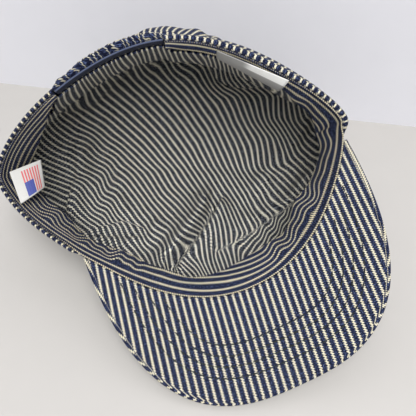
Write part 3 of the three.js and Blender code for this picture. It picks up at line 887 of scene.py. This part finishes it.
def makePeak():
    half = board["thick"] / 2
    foot, turnFrom, turnOver = (peakLook[name] for name in ("faceFrom", "turnFrom", "turnOver"))
    faceRun = turnFrom - foot

    def sides(u, v):
        s = 2 * u - 1
        root = wallPoint(s * cap["peakBearing"], cap["cloth"] + 0 * s, 0)[:, :2]
        edge = peakEdge(s)
        length = np.linalg.norm(edge - root, axis=1)
        turn = np.clip((v - turnFrom) / turnOver, 0, 1) * math.pi
        run = np.where(v < 0.5, (v - foot) / faceRun, (1 - foot - v) / faceRun)
        run = 1 - (1 - np.clip(run, 0, 1)) ** peakLook["crowd"]
        bulge = np.minimum(half, length * 0.45)
        return root, edge, length, turn, run, bulge

    def place(u, v):
        root, edge, length, turn, run, bulge = sides(u, v)
        reach = (length - bulge) * run + bulge * np.sin(turn)
        plan = root + (edge - root) * (reach / length)[:, None]
        inward, near = fromEdge(plan)
        rise = peakLook["hemRise"] * (1 - ease((inward - peakLook["hem"]) / 0.5)) * (turn < 1)
        closing = np.clip((np.abs(v - 0.5) - 0.5 + foot) / foot, 0, 1)
        z = boardLevel(plan[:, 0], plan[:, 1]) - half + half * np.cos(turn) * (1 - closing) + rise
        return np.concatenate([plan, z[:, None]], -1)

    def weave(u, v, points):
        plan = points[:, :2]
        inward, near = fromEdge(plan)
        mirrored = edgeSteps[near] + edgeOut[near] * inward[:, None]
        lower = (v < turnFrom) & (inward > peakLook["hem"])
        over = v > turnFrom + turnOver
        source = np.where((lower | over)[:, None], plan, mirrored)
        return np.stack([peakStripes(source), source[:, 1] / pitch], -1)

    peak = makeSheet("peak_cloth", peakLook, place, weave, [rightCloth], lapped=True)
    bm = bmesh.new()
    bm.from_mesh(peak.data)
    ends = [e for e in bm.edges if e.is_boundary]
    bmesh.ops.holes_fill(bm, edges=ends, sides=0)
    bmesh.ops.recalc_face_normals(bm, faces=bm.faces[:])
    bm.to_mesh(peak.data)
    bm.free()
    dress(peak, "peak")


makePeak()

threadFinish = Finish("dark thread")
threadShade = threadFinish.speckle(threadFinish.node("ShaderNodeTexCoord", None, out=3), 3000.0, 1.0)
threadColour = threadFinish.mix(threadShade, rgb(8, 12, 13), rgb(30, 40, 38))
threadFinish.close(threadColour, 0.6, threadShade, 0.4, 0.0001)


def makeStitches():
    bm = bmesh.new()
    toFloorTurn = Matrix([list(row) for row in capTurn])
    stride, wide = peakLook["stitchLength"], peakLook["stitchWide"]
    size = Matrix.Diagonal((stride * mm, wide * mm, wide * mm, 1))
    for inward in peakLook["stitchRows"]:
        path = edgeSteps - edgeOut * inward
        bearings = np.degrees(np.arctan2(path[:, 0], -path[:, 1]))
        clear = np.linalg.norm(path, axis=1) - rimAt(bearings, "radius")
        held = (clear > 1.5) & (path[:, 1] < board["cornerY"] - 2)
        path = path[held]
        run = np.concatenate([[0], np.cumsum(np.linalg.norm(np.diff(path, axis=0), axis=1))])
        for at in np.arange(stride / 2, run[-1] - stride / 2, stride):
            x, y = (np.interp(at, run, path[:, k]) for k in (0, 1))
            dx, dy = (np.diff(np.interp((at - 0.5, at + 0.5), run, path[:, k]))[0] for k in (0, 1))
            z = boardLevel(x, y) + peakLook["stitchRise"]
            dz = boardLevel(x + dx, y + dy) - boardLevel(x, y)
            way = toFloorTurn @ Vector((dx, dy, dz)).normalized()
            middle = Vector(toFloor(np.array([x, y, z]))) * mm
            turn = way.to_track_quat("X", "Z").to_matrix().to_4x4()
            spot = Matrix.Translation(middle) @ turn @ size
            bmesh.ops.create_icosphere(bm, subdivisions=1, radius=0.5, matrix=spot)
    for face in bm.faces:
        face.smooth = True
    stitches = addMesh("peak_stitching", bm, [threadFinish.material])
    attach(stitches, "root")
    print("made peak_stitching")


makeStitches()

def elasticBearings(u, margin):
    return cap["elasticFrom"] + margin + (cap["elasticTo"] - cap["elasticFrom"] - 2 * margin) * u


# gathered back: a rope of ripples over the elastic, with its inner face below the tape
gatherLook = {
    "across": 400, "rows": 54, "thick": 0.6, "ripples": 17, "slant": -3.4, "swell": 0.9, "lift": 0.8,
    "margin": 0.2, "core": 1.5, "endDeep": 0.35, "innerTo": 0.42,
    "knotAt": 0.93, "knotWide": 0.035, "knotHigh": 0.3,
    "section": ((0, 1.6, 27), (0.3, 1.5, 12), (0.42, 1.3, 2.5), (0.48, 0.6, 0.2), (0.54, -0.6, -1.2),
                (0.6, -1.8, -1.3), (0.66, -2.9, -0.2), (0.72, -3.5, 2), (0.82, -3.6, 8), (1, -1.6, 28)),
}


def makeGather():
    share, inset, drop = np.array(gatherLook["section"], float).T

    def parts(u, v):
        bearing = elasticBearings(u, gatherLook["margin"])
        fade = np.clip(np.sin(math.pi * u), 0, 1) ** 0.3 * (1 - 0.45 * ease((u - 0.72) / 0.25))
        uneven = 0.3 * np.sin(u * 19 + 1) + 0.16 * np.sin(u * 47 + v * 6) + 0.1 * np.sin(u * 83 + 2 - v * 9)
        phase = gatherLook["ripples"] * u + gatherLook["slant"] * (v - 0.55) + uneven
        outer = ease((v - 0.44) / 0.08)
        return bearing, fade, phase, outer

    def place(u, v):
        bearing, fade, phase, outer = parts(u, v)
        wave = (0.5 - 0.5 * np.cos(2 * math.pi * phase)) ** 0.8
        deep = np.interp(v, share, inset)
        knot = gatherLook["knotHigh"] * np.exp(-((u - gatherLook["knotAt"]) / gatherLook["knotWide"]) ** 2)
        core, endDeep = gatherLook["core"], gatherLook["endDeep"]
        deep = core + (deep - core) * (endDeep + (1 - endDeep) * fade + knot)
        deep = deep - gatherLook["swell"] * wave * fade * outer
        down = np.interp(v, share, drop) - gatherLook["lift"] * wave * outer * fade * (v < 0.75)
        return wallPoint(bearing, deep, np.maximum(down, -3))

    def weave(u, v, points):
        bearing, fade, phase, outer = parts(u, v)
        run = np.where(v < gatherLook["innerTo"], rimLength(bearing) / pitch, phase + 0.05)
        return np.stack([run, np.interp(v, share, drop) / pitch], -1)

    gather = makeSheet("back_gather_cloth", gatherLook, place, weave, [gatherShadedCloth])
    dress(gather, "back_gather")


makeGather()

# elastic tape: a ribbed navy tape with a paler upper edge
tapeFinish = Finish("ribbed tape")
tapeUv, tapeAcross, tapeDown = tapeFinish.cloth()
rib = tapeFinish.wave(tapeAcross, 3.2)
tapeFleck = tapeFinish.speckle(tapeUv, 9.0)
tapeBase = tapeFinish.mix(tapeFleck, rgb(22, 27, 48), rgb(48, 56, 82))
tapeLine = tapeFinish.wave(tapeDown, 1.9) * (rib * 0.4 + 0.6)
tapeGroove = tapeFinish.mix(tapeLine * 0.7, tapeBase, rgb(13, 16, 32))
tapeEdge = 1 - tapeFinish.step(tapeDown, 0.16, 0.3)
tapeColour = tapeFinish.mix(tapeEdge * 0.6, tapeGroove, rgb(92, 103, 134))
tapeFinish.close(tapeColour, 0.7, rib * 0.7 + tapeFleck * 0.3, 0.5, 0.0002)

tapeLook = {
    "across": 120, "rows": 10, "thick": 0.8,
    "height": 6.2, "inset": 1.7, "lean": 0.2, "proud": 0.3, "margin": 0.4,
}


def makeTape():
    def place(u, v):
        bearing = elasticBearings(u, tapeLook["margin"])
        inset = tapeLook["inset"] + tapeLook["lean"] * v
        return wallPoint(bearing, inset, tapeLook["height"] * v - tapeLook["proud"])

    def weave(u, v, points):
        run = rimLength(elasticBearings(u, tapeLook["margin"]))
        return np.stack([run, v * tapeLook["height"]], -1) / pitch

    tape = makeSheet("elastic_tape_ribbed", tapeLook, place, weave, [tapeFinish.material])
    dress(tape, "elastic_tape")


makeTape()


def labelFinish(name, printed):
    f = Finish(name)
    uv, across, down = f.cloth()
    weave = ((across * 700.0).math("SINE") + (down * 500.0).math("SINE")) * 0.25 + 0.5
    grain = f.speckle(uv, 40.0)
    colour = f.mix(grain, rgb(196, 195, 190), rgb(216, 215, 212))
    if not printed:
        # the rear label's lower part and its left part are painted grey over its white cloth: painted shade
        # of the label's fold
        foldShade = f.step(down, 0.5, 0.36) + f.step(across, 0.36, 0.42)
        colour = f.mix(foldShade.math("MINIMUM", 1.0) * 0.8, rgb(240, 240, 238), rgb(128, 127, 126))
    if printed:
        left, right, top, bottom = 0.3, 0.86, 0.12, 0.95
        stripes, red, blueShare = 6.5, 0.55, 0.56
        inX = (across > left) * (across < right)
        inY = (down > top) * (down < bottom)
        stripe = ((across - left) * (stripes / (right - left))) % 1.0 < red
        blue = (across < left + blueShare * (right - left)) * (down > 0.5)
        redShade = f.mix(grain, rgb(206, 64, 74), rgb(222, 96, 102))
        blueShade = f.mix(grain, rgb(40, 62, 140), rgb(70, 92, 172))
        colour = f.mix(inX * inY * stripe * 0.9, colour, redShade)
        colour = f.mix(inX * inY * blue * 0.95, colour, blueShade)
    f.close(colour, 0.55, weave + grain * 0.5, 0.25, 0.0001)
    return f.material


# labels: sewn corners, free corners and the bow between them, in the cap's frame
labels = (
    {"name": "flag_label", "sewn": ((-108.3, 46.8, -13.2), (-110.7, 26.2, -13.6)),
     "free": ((-91.5, 48.2, -27), (-96.8, 31.1, -27)), "bow": 2.6, "printed": True,
     "across": 24, "rows": 24, "thick": 0.5},
    {"name": "rear_label", "sewn": ((34.4, 55.6, 14.6), (65.3, 24.5, 12.4)),
     "free": ((34.0, 53.9, 5.5), (60.3, 22.6, 1.0)), "bow": -1.2, "printed": False,
     "across": 24, "rows": 24, "thick": 0.5},
)


def makeLabel(look):
    a, b = np.array(look["sewn"], float)
    c, d = np.array(look["free"], float)
    normal = unit(np.cross(b - a, c - a))

    def place(u, v):
        p = a + (b - a) * u[:, None]
        q = c + (d - c) * u[:, None]
        lift = look["bow"] * np.sin(math.pi * v) * (0.2 + 0.8 * u)
        return p + (q - p) * v[:, None] + normal * lift[:, None]

    def weave(u, v, points):
        return np.stack([v, u], -1)

    finish = labelFinish(look["name"] + " tape", look["printed"])
    label = makeSheet(look["name"] + "_tape", look, place, weave, [finish])
    dress(label, look["name"])


for look in labels:
    makeLabel(look)

cameraData = bpy.data.cameras.new("camera")
camera = addObject("camera", cameraData)
bpy.context.scene.camera = camera
cameraData.sensor_width = 36
cameraData.lens = 36 * view["focus"] / view["frame"]
cameraData.clip_start = 0.01
camera.location = Vector(cameraPlace) * mm
camera.rotation_mode = "QUATERNION"
camera.rotation_quaternion = Vector(-viewBack).to_track_quat("-Z", "Y")

# plain floor and wall, and soft light from the upper left
stageLook = {
    "floor": rgb(193, 190, 186), "wall": rgb(226, 226, 232), "wide": 3,
    # two spots of the line where the wall meets the floor, in px of the photograph's frame
    "wallFootLeft": (0, 83), "wallFootRight": (350, 120),
    "sky": 0.47, "key": 40.0, "keyFrom": (-0.13, -0.49, 0.86), "keyAway": 2.0, "keySize": 1.3,
}


def plainFinish(name, colour):
    f = Finish(name)
    grain = f.speckle(f.node("ShaderNodeTexCoord", None, out=3), 60.0, 2.0)
    tone = f.mix(grain, tuple(c * 0.97 for c in colour[:3]) + (1,), colour)
    f.close(tone, 0.75)
    return f.material


def floorSpot(px, py):
    # where a pixel of the photograph's frame looks on the floor, in metres
    half = view["frame"] / 2
    ray = -viewBack * view["focus"] + viewRight * (px - half) + viewUp * (half - py)
    return Vector(cameraPlace - ray * (cameraPlace[2] / ray[2])) * mm


def makePlane(name, corners, colour):
    bm = bmesh.new()
    bm.faces.new([bm.verts.new(c) for c in corners])
    plane = addMesh(name, bm, [plainFinish(name + " finish", colour)])


footLeft = floorSpot(*stageLook["wallFootLeft"])
footRight = floorSpot(*stageLook["wallFootRight"])
footLine = (footRight - footLeft).normalized() * stageLook["wide"]
footMiddle = (footLeft + footRight) / 2
tall = Vector((0, 0, stageLook["wide"]))
front = Vector((footLine.y, -footLine.x, 0))
makePlane("floor", [footMiddle - footLine, footMiddle - footLine + front, footMiddle + footLine + front,
                    footMiddle + footLine], stageLook["floor"])
makePlane("backdrop", [footMiddle - footLine, footMiddle + footLine, footMiddle + footLine + tall,
                       footMiddle - footLine + tall], stageLook["wall"])
world = bpy.data.worlds.new("studio")
bpy.context.scene.world = world
world.use_nodes = True
world.node_tree.nodes["Background"].inputs["Color"].default_value = (1, 1, 1, 1)
world.node_tree.nodes["Background"].inputs["Strength"].default_value = stageLook["sky"]
keyData = bpy.data.lights.new("key", "AREA")
key = addObject("key", keyData)
keyData.energy = stageLook["key"]
keyData.size = stageLook["keySize"]
keyWay = Vector(stageLook["keyFrom"]).normalized()
key.location = keyWay * stageLook["keyAway"]
key.rotation_mode = "QUATERNION"
key.rotation_quaternion = (-keyWay).to_track_quat("-Z", "Y")
bpy.context.scene.view_settings.view_transform = "Standard"
